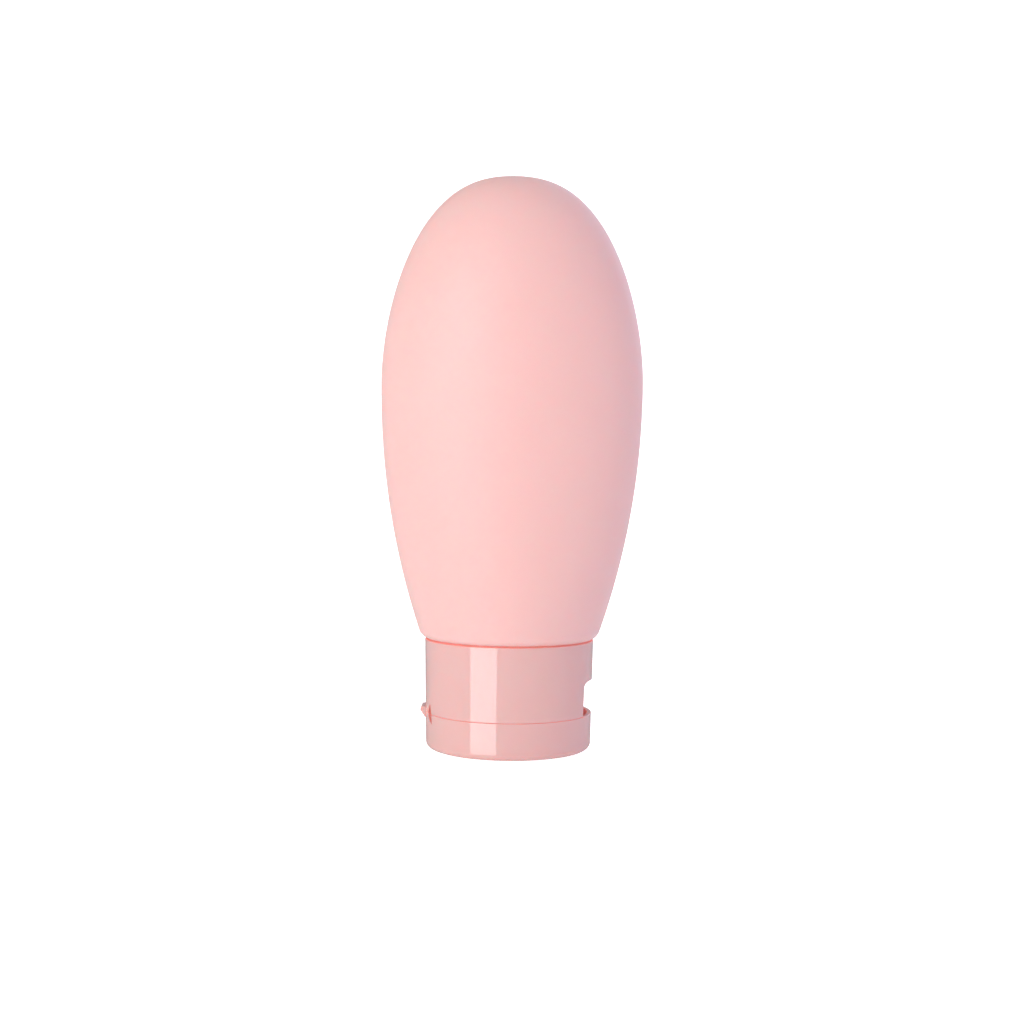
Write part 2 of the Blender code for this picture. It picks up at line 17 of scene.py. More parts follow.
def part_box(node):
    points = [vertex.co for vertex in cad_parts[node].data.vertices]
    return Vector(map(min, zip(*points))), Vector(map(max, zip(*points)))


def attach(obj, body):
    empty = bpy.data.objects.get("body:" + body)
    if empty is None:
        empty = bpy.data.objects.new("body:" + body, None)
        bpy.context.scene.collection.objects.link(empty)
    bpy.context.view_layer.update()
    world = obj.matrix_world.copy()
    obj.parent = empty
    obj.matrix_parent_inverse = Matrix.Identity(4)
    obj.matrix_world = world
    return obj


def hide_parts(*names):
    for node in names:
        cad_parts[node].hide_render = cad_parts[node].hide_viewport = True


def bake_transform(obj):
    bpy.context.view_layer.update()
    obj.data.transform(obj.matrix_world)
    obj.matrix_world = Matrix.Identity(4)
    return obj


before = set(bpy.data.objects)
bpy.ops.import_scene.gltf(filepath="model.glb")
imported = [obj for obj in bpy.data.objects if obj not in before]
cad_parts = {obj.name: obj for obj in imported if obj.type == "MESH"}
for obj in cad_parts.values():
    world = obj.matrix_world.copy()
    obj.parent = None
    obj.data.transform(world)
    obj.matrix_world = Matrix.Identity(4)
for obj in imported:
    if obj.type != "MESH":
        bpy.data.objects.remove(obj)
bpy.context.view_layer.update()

# Sizes read from the frame
body_low, body_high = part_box("bottle_body")
base_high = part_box("cap_base")[1]
OVERALL_HEIGHT = body_high.z
BELLY_HALF_WIDTH = body_high.x
BELLY_HALF_DEPTH = body_high.y
RIM_HEIGHT = body_low.z
CLOSURE_HEIGHT = base_high.z

# Bottle body
BELLY_HEIGHT = 0.0700
BODY_WALL = 0.0016
SHOULDER_STEP = 0.00063
SHOULDER_GAP = 0.00008
SHOULDER_CORNER = 0.0016
SHOULDER_FLOOR_ROUND = 0.0020
DOME_WIDTH_POWERS = (1.78, 2.47)
DOME_DEPTH_POWERS = (2.20, 2.35)
SHOULDER_SWEEP_POWER = 2.085

# Neck
NECK_BORE_RADIUS = 0.00875
NECK_RADIUS = 0.0108
NECK_ROOT_FILLET = 0.0008
NECK_MOUTH_ROUND = 0.0010
RIM_CHAMFER = 0.0003

# Screw thread
THREAD_LEAD = 0.0032
NECK_THREAD = (0.0126, 0.0174)
NECK_THREAD_HEIGHT = 0.0011
CAP_THREAD = (0.0142, 0.0182)
CAP_THREAD_HEIGHT = 0.00095
THREAD_CREST_WIDTH = 0.0007
THREAD_FLANK = 0.00042
THREAD_FADE_SHARE = 0.14

# Closure base
SEAM_HEIGHT = 0.0070
SEAM_GAP = 0.00004
SEAM_RADIUS = 0.0159
DRAFT_SHARE = 0.018
SKIRT_INNER_RADIUS = 0.01475
SKIRT_EDGE_ROUND = 0.00025
SOCKET_RADIUS = 0.01225
INNER_SKIRT_RADIUS = 0.01335
INNER_SKIRT_SETBACK = 0.0005
DECK_HIGH = 0.0084
PLUG_RADIUS = 0.00845
PLUG_WALL = 0.0008
PLUG_REACH = 0.0015
PLUG_LEAD_IN = 0.00025
SPIGOT_RADIUS = 0.0138
SPIGOT_WALL = 0.0011
SPIGOT_REACH = 0.0016
RIB_THICKNESS = 0.0008
RIB_SETBACK = 0.0030
RIB_COUNT = 8
LIP_SETBACK = 0.0004
LIP_GAP = 0.00004
EDGE_ROUND = 0.00012
INSIDE_ROUND = 0.0003

# Spout
SPOUT_ROOT_RADIUS = 0.0034
SPOUT_TIP_RADIUS = 0.0029
SPOUT_TIP_HEIGHT = 0.0026
SPOUT_THROAT_RADIUS = 0.0023
SPOUT_ROOT_FILLET = 0.0006
ORIFICE_RADIUS = 0.00175
ORIFICE_CHAMFER = 0.0004

# Thumb recess
RECESS_WALL = 0.0140
RECESS_RISE = 0.0065
RECESS_LEAN = 0.00025
RECESS_FILLET = 0.0010
RECESS_BACKING = 0.0010

# Lid
LID_INNER_RADIUS = 0.01505
LID_FLOOR = 0.0012
LID_CORNER = 0.0013
LID_INSIDE_CORNER = 0.0008
PIN_RADIUS = 0.00145
PIN_TIP_RADIUS = 0.0010
PIN_REACH = 0.0020
COLLAR_RADIUS = 0.0037
COLLAR_WALL = 0.0008
COLLAR_OVERLAP = 0.0014

# Seal liner
LINER_INNER_RADIUS = 0.00875
LINER_OUTER_RADIUS = 0.01175
LINER_LOW = 0.0087
LINER_HIGH = 0.0097

# Living hinge, with a window slit on each side of it
HINGE_HEIGHT = 0.0073
HINGE_PROUD = 0.00095
STRAP_WIDTH = 0.0054
STRAP_RISE = 0.0009
STRAP_DROP = 0.0011
STRAP_SHOULDER = 0.00078
STRAP_ROUND = 0.0003
STRAP_EDGE_ROUND = 0.00015
STRAP_ARC_STEPS = 18
STRAP_SPLIT = 0.00006
FILM_THICKNESS = 0.00035
FILM_ROUND = 0.00005
FOOT_DEPTH = 0.0005
WINDOW_FLOOR_RADIUS = 0.0126
WINDOW_HEIGHT = 0.0038
WINDOW_SWING = math.radians(23.6)
WINDOW_LEAN = 0.21
WINDOW_HINGE_BULGE = 0.00175
WINDOW_FAR_BULGE = 0.0002

# Plastics: tints, and how far painted shade reddens and dulls a crevice and a painted glow lights it
MATTE_TINT = (0.785, 0.484, 0.455, 1)
GLOSS_TINT = (0.69, 0.428, 0.403, 1)
FOAM_TINT = (0.86, 0.86, 0.84, 1)
# Painted shade: the colours that sheltered crevices, seams and slits are turned to
MATTE_PAINTED_SHADE_TINT = (0.93, 0.50, 0.45, 1)
GLOSS_PAINTED_SHADE_TINT = (0.74, 0.21, 0.17, 1)
FOAM_PAINTED_SHADE_TINT = (0.7, 0.62, 0.6, 1)
MATTE_CREVICE_REACH = 0.0007
GLOSS_CREVICE_REACH = 0.0027
STRAP_CREVICE_REACH = 0.0002
CREVICE_DULLING = 0.5
# Painted glow: a faint red light given off where a crevice is deeply sheltered
PAINTED_CREVICE_GLOW = (0.17, 0.065, 0.06, 1)
CREVICE_GLOW_POWER = 3
OPEN_SHARE = 0.9
SHELTERED_SHARE = 0.35
SHELTER_SAMPLES = 8
FLOOR_FADE_START = 0.001
FLOOR_FADE_END = 0.004
MOTTLE_SCALE = 90
MOTTLE_DETAIL = 3
SOAK_WEIGHT = 0.7
SOAK_SHARES = (1.0, 0.25, 0.18)
SOAK_DEPTH = 0.0008
PARTING_LINE_WIDTH = 0.00016
PARTING_LINE_HEIGHT = 0.00002

# Floor
FLOOR_HALF_WIDTH = 1.8
FLOOR_FRONT = 1.6
FLOOR_BACK = 1.2
FLOOR_TOP = 1.8
FLOOR_BEND = 0.6
FLOOR_BEND_STEPS = 24
FLOOR_STEP = 0.2
FLOOR_TONE = (0.93, 0.93, 0.93, 1)
FLOOR_ROUGHNESS = 0.9

# Strengths of white: as a light, and where the camera looks at it
FLOOR_GLOW, FLOOR_GLOW_SEEN = 0.33, 0.7
ROOM_GLOW, ROOM_GLOW_SEEN = 0.39, 1

# Lights: a bearing from the camera's side, negative to the left, and size and power in watts
WHITE = (1, 1, 1)
COOL = (0.62, 0.6, 1)
RIM_TINT = (0.7, 0.8, 1)
KEY_LIGHT = {"bearing": -34.5, "away": 1, "up": 0.12, "wide": 0.68, "tall": 1.2, "power": 13.3}
HIGH_FILL = {"bearing": 65, "away": 0.9, "up": 0.8, "wide": 0.8, "tall": 0.8, "power": 2.2}
SIDE_FILL = {"bearing": 105, "away": 1, "up": 0.2, "wide": 0.5, "tall": 1, "power": 3.6}
RIM_LIGHT = {"bearing": 150, "away": 1, "up": 0.55, "wide": 0.6, "tall": 0.8, "power": 2.4}

# Camera: place in metres, and the photograph's focal length and centre in pixels
CAMERA_DISTANCE = 0.2836
CAMERA_HEIGHT = 0.0528
PHOTO_WIDTH = 1024
FOCAL_PIXELS = 1478
HORIZON_DROP = 39.8
AXIS_OFFSET = 1.3
CAMERA_ROLL = math.radians(0.69)
SENSOR_WIDTH = 36
NEAREST_SEEN = 0.01
FARTHEST_SEEN = 20

# Mesh fineness
DOME_STEPS, SWEEP_STEPS = 64, 56
INSIDE_DOME_STEPS, INSIDE_SWEEP_STEPS = 20, 20
BORE_ROWS_SKIPPED = 6
STRAP_SPANS = 6
CUT_OVERRUN = 0.0010
WELD_DISTANCE = 0.0000002
LONGEST_STEP = 0.0006
THREAD_STEP = 0.00011
BODY_SIDES = 160
CLOSURE_SIDES = 216
ARC_STEPS = 6
SHARP_EDGE = math.radians(32)

# Heights worked out from the sizes
SHOULDER_HEIGHT = CLOSURE_HEIGHT + SHOULDER_GAP
DECK_LOW = SEAM_HEIGHT + SEAM_GAP / 2
LID_RIM_HEIGHT = SEAM_HEIGHT - SEAM_GAP / 2
INNER_SKIRT_HIGH = CLOSURE_HEIGHT - INNER_SKIRT_SETBACK


def closure_radius(height):
    """The closure's outer radius at a height, with its moulding draft."""
    return SEAM_RADIUS + DRAFT_SHARE * (height - SEAM_HEIGHT)


# Lines


def stepped(start, end, step):
    """Points from start up to, but not with, end, no further apart than step."""
    count = max(1, math.ceil(np.linalg.norm(end - start) / step))
    return start + (end - start) * (np.arange(count) / count)[:, None]


def rounded_line(corners, closed=False, arc_steps=ARC_STEPS, step=LONGEST_STEP):
    """A line through corners (across, up, round): straight runs, joined by arcs tangent to both.

    An arc's centre lies on the corner's bisector, at its radius over the sine of half the corner's
    angle, and its points swing about that centre from one run's tangent point to the other's.
    """
    places = np.array([corner[:2] for corner in corners])
    runs = []
    for index, (_, _, radius) in enumerate(corners):
        here = places[index]
        if radius == 0 or (not closed and index in (0, len(corners) - 1)):
            runs.append(here[None])
            continue
        to_last = places[index - 1] - here
        to_next = places[(index + 1) % len(corners)] - here
        to_last /= np.linalg.norm(to_last)
        to_next /= np.linalg.norm(to_next)
        half_angle = math.acos(np.clip(to_last @ to_next, -1, 1)) / 2
        middle = (to_last + to_next) / np.linalg.norm(to_last + to_next)
        centre = here + middle * radius / math.sin(half_angle)
        swing = (math.pi - 2 * half_angle) * np.linspace(-0.5, 0.5, arc_steps + 1)
        side = to_next - to_last
        side /= np.linalg.norm(side)
        arc = -middle * np.cos(swing)[:, None] + side * np.sin(swing)[:, None]
        runs.append(centre + radius * arc)
    line = []
    for index, run in enumerate(runs):
        line.append(run[:-1])
        if closed or index < len(runs) - 1:
            line.append(stepped(run[-1], runs[(index + 1) % len(runs)][0], step))
        else:
            line.append(run[-1:])
    return np.vstack(line)


def arc_line(radius, first_angle, last_angle, steps):
    """Points on a circle about the origin, from one angle to another."""
    angles = np.linspace(first_angle, last_angle, steps + 1)
    return np.column_stack([radius * np.cos(angles), radius * np.sin(angles)])


# Surfaces


def round_angles(sides):
    """Even steps once round."""
    return np.arange(sides) * 2 * math.pi / sides


def turned_rows(line, angles):
    """Rows of points: each point (radius, height) of a line carried round the Z axis."""
    radius, height = line[:, :1], line[:, 1:]
    level = np.broadcast_to(height, (len(line), len(angles)))
    return np.stack([radius * np.cos(angles), radius * np.sin(angles), level], axis=-1)


def pushed_out(rows, amount):
    """Rows of points moved away from the Z axis by an amount at each point."""
    radius = np.hypot(rows[..., 0], rows[..., 1])
    grown = rows.copy()
    grown[..., :2] *= ((radius + amount) / np.maximum(radius, WELD_DISTANCE))[..., None]
    return grown


def smooth(share):
    """Nought to one with level ends: three squared less two cubed."""
    share = np.clip(share, 0, 1)
    return share * share * (3 - 2 * share)


def thread_rise(angles, heights, low, high):
    """How far a right-handed thread stands out of its wall, as a share of its full height.

    The ridge climbs by one lead a turn, from low at angle zero. Across, it is level over its crest
    and falls smoothly down both flanks. Along, it grows from nothing over a share of its length
    and fades again before high.
    """
    rise = np.zeros((len(heights), len(angles)))
    turns = math.ceil((high - low) / THREAD_LEAD)
    for turn in range(turns + 1):
        middle = low + THREAD_LEAD * (angles / (2 * math.pi) + turn)
        along = (middle - low) / (high - low)
        fade = smooth(np.minimum(along, 1 - along) / THREAD_FADE_SHARE)
        away = np.abs(heights[:, None] - middle)
        flank = smooth(1 - (away - THREAD_CREST_WIDTH / 2) / THREAD_FLANK)
        rise = np.maximum(rise, flank * fade)
    return rise


def mesh_of(name, points, faces):
    """A mesh with doubles merged and faces turned outwards."""
    mesh = bpy.data.meshes.new(name)
    mesh.from_pydata(points.tolist(), [], faces)
    shape = bmesh.new()
    shape.from_mesh(mesh)
    bmesh.ops.remove_doubles(shape, verts=shape.verts, dist=WELD_DISTANCE)
    bmesh.ops.recalc_face_normals(shape, faces=shape.faces)
    shape.to_mesh(mesh)
    shape.free()
    return mesh


def add_object(name, mesh):
    """An object of a mesh, put in the scene."""
    obj = bpy.data.objects.new(name, mesh)
    bpy.context.scene.collection.objects.link(obj)
    return obj


def shade(obj):
    """Smooth shading, with an edge kept wherever the surface turns sharply."""
    obj.data.shade_smooth()
    obj.data.set_sharp_from_angle(angle=SHARP_EDGE)
    return obj


def skin(name, rows, ring=False):
    """An object of quads over rows of points.

    Each row goes round and joins up, and a row that shrinks to a point makes a pole. The rows
    themselves join up where the line is a ring.
    """
    count, sides = rows.shape[:2]
    index = np.arange(count * sides).reshape(count, sides)
    if ring:
        index = np.vstack([index, index[:1]])
    here, below = index[:-1], index[1:]
    quads = np.stack([here, below, np.roll(below, -1, 1), np.roll(here, -1, 1)], axis=-1)
    return add_object(name, mesh_of(name, rows.reshape(-1, 3), quads.reshape(-1, 4).tolist()))


def prism(name, outline, thickness, place):
    """A flat outline given a thickness along its own Z axis, then moved by a place matrix."""
    count = len(outline)
    flat = np.column_stack([outline, np.zeros(count)])
    lift = np.array([0, 0, thickness / 2])
    points = np.vstack([flat - lift, flat + lift])
    points = points @ np.array(place)[:3, :3].T + np.array(place)[:3, 3]
    after = np.roll(np.arange(count), -1)
    sides = np.column_stack([np.arange(count), after, after + count, np.arange(count) + count])
    ends = [list(range(count)), list(range(count, 2 * count))]
    return add_object(name, mesh_of(name, points, sides.tolist() + ends))


def combined(obj, others, operation):
    """The object with others joined to it or cut from it, as one plain mesh. The others go."""
    for other in others:
        boolean = obj.modifiers.new(other.name, "BOOLEAN")
        boolean.operation = operation
        boolean.solver = "MANIFOLD"
        boolean.object = other
    graph = bpy.context.evaluated_depsgraph_get()
    mesh = bpy.data.meshes.new_from_object(obj.evaluated_get(graph))
    obj.modifiers.clear()
    obj.data = mesh
    mesh.name = obj.name
    mesh.materials.clear()
    for other in others:
        bpy.data.objects.remove(other, do_unlink=True)
    return obj


# Bottle body


def dome_rows(half_width, half_depth, rise, steps):
    """Half width, half depth and height of sections up the dome, from its top to the belly.

    Front and side are superellipses: the share of the height, to one power, taken from one, to the
    inverse of another power, is the share of the width.
    """
    up = np.sin(np.linspace(math.pi / 2, 0, steps + 1))
    (width_rise, width_close), (depth_rise, depth_close) = DOME_WIDTH_POWERS, DOME_DEPTH_POWERS
    width = half_width * (1 - up**width_rise) ** (1 / width_close)
    depth = half_depth * (1 - up**depth_rise) ** (1 / depth_close)
    return np.column_stack([width, depth, BELLY_HEIGHT + rise * up])


def sweep_rows(half_width, half_depth, end_radius, floor, corner, steps):
    """The same three from under the belly down to the underside.

    Both halves close in on one radius by a power of the drop, and a quarter circle is taken off
    at the bottom, which leaves a rounded corner on a flat underside.
    """
    corner_drop = BELLY_HEIGHT - floor - corner
    straight = corner_drop * np.arange(1, steps + 1) / steps
    angles = np.linspace(0, math.pi / 2, 2 * ARC_STEPS + 1)[1:]
    drop = np.concatenate([straight, corner_drop + corner * np.sin(angles)])
    trim = np.concatenate([np.zeros(steps), corner * (1 - np.cos(angles))])
    share = (drop / (BELLY_HEIGHT - floor)) ** SHOULDER_SWEEP_POWER
    width = half_width - (half_width - end_radius) * share - trim
    depth = half_depth - (half_depth - end_radius) * share - trim
    return np.column_stack([width, depth, BELLY_HEIGHT - drop])


def shell_rows(inset, corner, dome_steps, sweep_steps):
    """Dome and sweep together, moved in from the outside by an inset."""
    half_width = BELLY_HALF_WIDTH - inset
    half_depth = BELLY_HALF_DEPTH - inset
    shoulder = closure_radius(CLOSURE_HEIGHT) + SHOULDER_STEP - inset
    rise = OVERALL_HEIGHT - inset - BELLY_HEIGHT
    floor = SHOULDER_HEIGHT + inset
    return np.vstack(
        [
            dome_rows(half_width, half_depth, rise, dome_steps),
            sweep_rows(half_width, half_depth, shoulder, floor, corner, sweep_steps),
        ]
    )


def make_bottle():
    """One skin from the top of the dome down the outside, round the rim and up the inside."""
    outside = shell_rows(0, SHOULDER_CORNER, DOME_STEPS, SWEEP_STEPS)
    inside = shell_rows(BODY_WALL, SHOULDER_FLOOR_ROUND, INSIDE_DOME_STEPS, INSIDE_SWEEP_STEPS)
    inside_floor = SHOULDER_HEIGHT + BODY_WALL
    neck = rounded_line(
        [
            (outside[-1, 0], SHOULDER_HEIGHT, 0),
            (NECK_RADIUS, SHOULDER_HEIGHT, NECK_ROOT_FILLET),
            (NECK_RADIUS, RIM_HEIGHT, RIM_CHAMFER),
            (NECK_BORE_RADIUS, RIM_HEIGHT, EDGE_ROUND),
            (NECK_BORE_RADIUS, inside_floor, NECK_MOUTH_ROUND),
            (inside[-1, 0], inside_floor, 0),
        ],
        step=THREAD_STEP,
    )[1:-1]
    on_bore = np.isclose(neck[:, 0], NECK_BORE_RADIUS)
    neck = neck[~on_bore | (np.arange(len(neck)) % BORE_ROWS_SKIPPED == 0)]
    sections = np.vstack([outside, np.column_stack([neck[:, 0], neck]), inside[::-1]])
    angles = round_angles(BODY_SIDES)
    width, depth, height = sections[:, 0:1], sections[:, 1:2], sections[:, 2:3]
    level = np.broadcast_to(height, (len(sections), BODY_SIDES))
    rows = np.stack([width * np.cos(angles), depth * np.sin(angles), level], axis=-1)
    on_neck = np.isclose(width, NECK_RADIUS) & (height < SHOULDER_HEIGHT)
    rise = thread_rise(angles, height[:, 0], *NECK_THREAD)
    rows = pushed_out(rows, NECK_THREAD_HEIGHT * rise * on_neck)
    return shade(skin("bottle", rows))


# Openings beside the hinge strap


def upright(angle):
    """A matrix that stands a flat outline up to face outwards at an angle round the Z axis."""
    quarter = math.pi / 2
    return Matrix.Rotation(angle + quarter, 4, "Z") @ Matrix.Rotation(quarter, 4, "X")


def hinge_windows():
    """Two slits through the wall across the seam, one each side of the strap.

    A slit lies between two parabolas on a leaning chord: one bulges far towards the strap, the
    other a little away from it. The two slits mirror each other.
    """
    height = np.linspace(-1, 1, 8 * ARC_STEPS + 1)
    chord = -WINDOW_LEAN * height * WINDOW_HEIGHT / 2
    bulge = 1 - height**2
    up = height * WINDOW_HEIGHT / 2
    hinge_side = np.column_stack([chord - WINDOW_HINGE_BULGE * bulge, up])
    far_side = np.column_stack([chord + WINDOW_FAR_BULGE * bulge, up])
    outline = np.vstack([hinge_side, far_side[-2:0:-1]])
    depth = SEAM_RADIUS - WINDOW_FLOOR_RADIUS + CUT_OVERRUN
    middle_radius = WINDOW_FLOOR_RADIUS + depth / 2
    windows = []
    for label, side in (("near", 1), ("far", -1)):
        angle = math.pi + side * WINDOW_SWING
        centre = Matrix.Rotation(angle, 4, "Z") @ Vector((middle_radius, 0, SEAM_HEIGHT))
        place = Matrix.Translation(centre) @ upright(angle)
        windows.append(prism("window_" + label, outline * (side, 1), depth, place))
    return windows


# Closure base


def base_line():
    """Down the outer skirt, in under the deck, round the spout, and up over plug and skirts.

    A lip inside the mouth's edge rises to the bottle's rounded corner and follows it inwards, so
    that only a shallow groove shows between the two.
    """
    skirt_radius = closure_radius(CLOSURE_HEIGHT)
    lip_radius = skirt_radius - LIP_SETBACK
    corner_centre = skirt_radius + SHOULDER_STEP - SHOULDER_CORNER
    corner_rise = SHOULDER_CORNER - math.sqrt(SHOULDER_CORNER**2 - (lip_radius - corner_centre) ** 2)
    lip_low = SHOULDER_HEIGHT - LIP_GAP
    lip_high = lip_low + corner_rise
    spigot_low = DECK_LOW - SPIGOT_REACH
    spigot_inner = SPIGOT_RADIUS - SPIGOT_WALL
    plug_high = RIM_HEIGHT + PLUG_REACH
    plug_inner = PLUG_RADIUS - PLUG_WALL
    throat_low = SPOUT_TIP_HEIGHT + ORIFICE_CHAMFER
    return rounded_line(
        [
            (skirt_radius, CLOSURE_HEIGHT, SKIRT_EDGE_ROUND),
            (closure_radius(DECK_LOW), DECK_LOW, EDGE_ROUND),
            (SPIGOT_RADIUS, DECK_LOW, EDGE_ROUND),
            (SPIGOT_RADIUS, spigot_low, INSIDE_ROUND),
            (spigot_inner, spigot_low, EDGE_ROUND),
            (spigot_inner, DECK_LOW, INSIDE_ROUND),
            (SPOUT_ROOT_RADIUS, DECK_LOW, SPOUT_ROOT_FILLET),
            (SPOUT_TIP_RADIUS, SPOUT_TIP_HEIGHT, INSIDE_ROUND),
            (ORIFICE_RADIUS + ORIFICE_CHAMFER, SPOUT_TIP_HEIGHT, EDGE_ROUND),
            (ORIFICE_RADIUS, throat_low, EDGE_ROUND),
            (SPOUT_THROAT_RADIUS, DECK_HIGH, EDGE_ROUND),
            (plug_inner, DECK_HIGH, INSIDE_ROUND),
            (plug_inner, plug_high, EDGE_ROUND),
            (PLUG_RADIUS - PLUG_LEAD_IN, plug_high, EDGE_ROUND),
            (PLUG_RADIUS, RIM_HEIGHT, 0),
            (PLUG_RADIUS, DECK_HIGH, 0),
            (SOCKET_RADIUS, DECK_HIGH, 0),
            (SOCKET_RADIUS, INNER_SKIRT_HIGH, INSIDE_ROUND),
            (INNER_SKIRT_RADIUS, INNER_SKIRT_HIGH, EDGE_ROUND),
            (INNER_SKIRT_RADIUS, DECK_HIGH, INSIDE_ROUND),
            (SKIRT_INNER_RADIUS, DECK_HIGH, INSIDE_ROUND),
            (SKIRT_INNER_RADIUS, lip_low, EDGE_ROUND),
            (corner_centre, lip_low, 0),
            (lip_radius, lip_high, EDGE_ROUND),
            (lip_radius, CLOSURE_HEIGHT, 0),
        ],
        closed=True,
    )


def socket_line():
    """The base's line with fine steps up the threaded wall, so that the thread comes out smooth."""
    line = base_line()
    on_wall = np.isclose(line[:, 0], SOCKET_RADIUS)
    first, last = np.flatnonzero(on_wall)[[0, -1]]
    fine = stepped(line[first], line[last], THREAD_STEP)
    return np.vstack([line[:first], fine, line[last:]])


def recess_backing():
    """A solid segment between the two skirts, which closes the space behind the thumb recess."""
    chord = (SOCKET_RADIUS + INNER_SKIRT_RADIUS) / 2
    reach = (SKIRT_INNER_RADIUS + SEAM_RADIUS) / 2
    angle = math.acos(chord / reach)
    low = (DECK_LOW + DECK_HIGH) / 2
    high = SEAM_HEIGHT + RECESS_RISE + RECESS_BACKING
    outline = arc_line(reach, -angle, angle, 4 * ARC_STEPS)
    return prism("recess_backing", outline, high - low, Matrix.Translation((0, 0, (low + high) / 2)))


def skirt_ribs():
    """Radial ribs that tie the threaded inner skirt to the outer one."""
    inner = (SOCKET_RADIUS + INNER_SKIRT_RADIUS) / 2
    outer = (SKIRT_INNER_RADIUS + SEAM_RADIUS) / 2
    low = (DECK_LOW + DECK_HIGH) / 2
    high = INNER_SKIRT_HIGH - RIB_SETBACK
    half = RIB_THICKNESS / 2
    outline = np.array([(inner, -half), (outer, -half), (outer, half), (inner, half)])
    ribs = []
    for rib in range(RIB_COUNT):
        turn = Matrix.Rotation(2 * math.pi * (rib + 1 / 2) / RIB_COUNT, 4, "Z")
        lift = Matrix.Translation((0, 0, (low + high) / 2))
        ribs.append(prism(f"rib_{rib}", outline, high - low, turn @ lift))
    return ribs


def thumb_recess():
    """The cut that makes the thumb recess: a leaning floor under a rounded top, straight along Y."""
    high = SEAM_HEIGHT + RECESS_RISE
    low = DECK_LOW - SEAM_GAP
    outside = closure_radius(CLOSURE_HEIGHT) + CUT_OVERRUN
    outline = rounded_line(
        [
            (RECESS_WALL, low, 0),
            (outside, low, 0),
            (outside, high, 0),
            (RECESS_WALL + RECESS_LEAN, high, RECESS_FILLET),
        ],
        closed=True,
        arc_steps=3 * ARC_STEPS,
        step=CUT_OVERRUN,
    )
    return prism("thumb_recess", outline, 2 * SEAM_RADIUS, Matrix.Rotation(math.pi / 2, 4, "X"))


def make_base():
    """The base's line turned round, with its thread, backing and ribs, less recess and slits."""
    line = socket_line()
    angles = round_angles(CLOSURE_SIDES)
    rows = turned_rows(line, angles)
    on_wall = np.isclose(line[:, 0], SOCKET_RADIUS)[:, None]
    rise = thread_rise(angles, line[:, 1], *CAP_THREAD)
    rows = pushed_out(rows, -CAP_THREAD_HEIGHT * rise * on_wall)
    base = skin("closure_base", rows, ring=True)
    combined(base, [recess_backing(), *skirt_ribs()], "UNION")
    combined(base, [thumb_recess(), *hinge_windows()], "DIFFERENCE")
    return shade(base)


# Lid


def make_lid():
    """A shallow cup with the pin that seals the orifice and a collar round the spout."""
    pin_tip = SPOUT_TIP_HEIGHT + PIN_REACH
    collar_high = SPOUT_TIP_HEIGHT + COLLAR_OVERLAP
    collar_outer = COLLAR_RADIUS + COLLAR_WALL
    line = rounded_line(
        [
            (0, pin_tip, 0),
            (PIN_TIP_RADIUS, pin_tip, INSIDE_ROUND),
            (PIN_RADIUS, SPOUT_TIP_HEIGHT, 0),
            (PIN_RADIUS, LID_FLOOR, INSIDE_ROUND),
            (COLLAR_RADIUS, LID_FLOOR, INSIDE_ROUND),
            (COLLAR_RADIUS, collar_high, INSIDE_ROUND),
            (collar_outer, collar_high, EDGE_ROUND),
            (collar_outer, LID_FLOOR, INSIDE_ROUND),
            (LID_INNER_RADIUS, LID_FLOOR, LID_INSIDE_CORNER),
            (LID_INNER_RADIUS, LID_RIM_HEIGHT, EDGE_ROUND),
            (closure_radius(LID_RIM_HEIGHT), LID_RIM_HEIGHT, EDGE_ROUND),
            (closure_radius(0), 0, LID_CORNER),
            (0, 0, 0),
        ],
        arc_steps=2 * ARC_STEPS,
    )
    lid = skin("closure_lid", turned_rows(line, round_angles(CLOSURE_SIDES)))
    return shade(combined(lid, hinge_windows(), "DIFFERENCE"))


# Living hinge


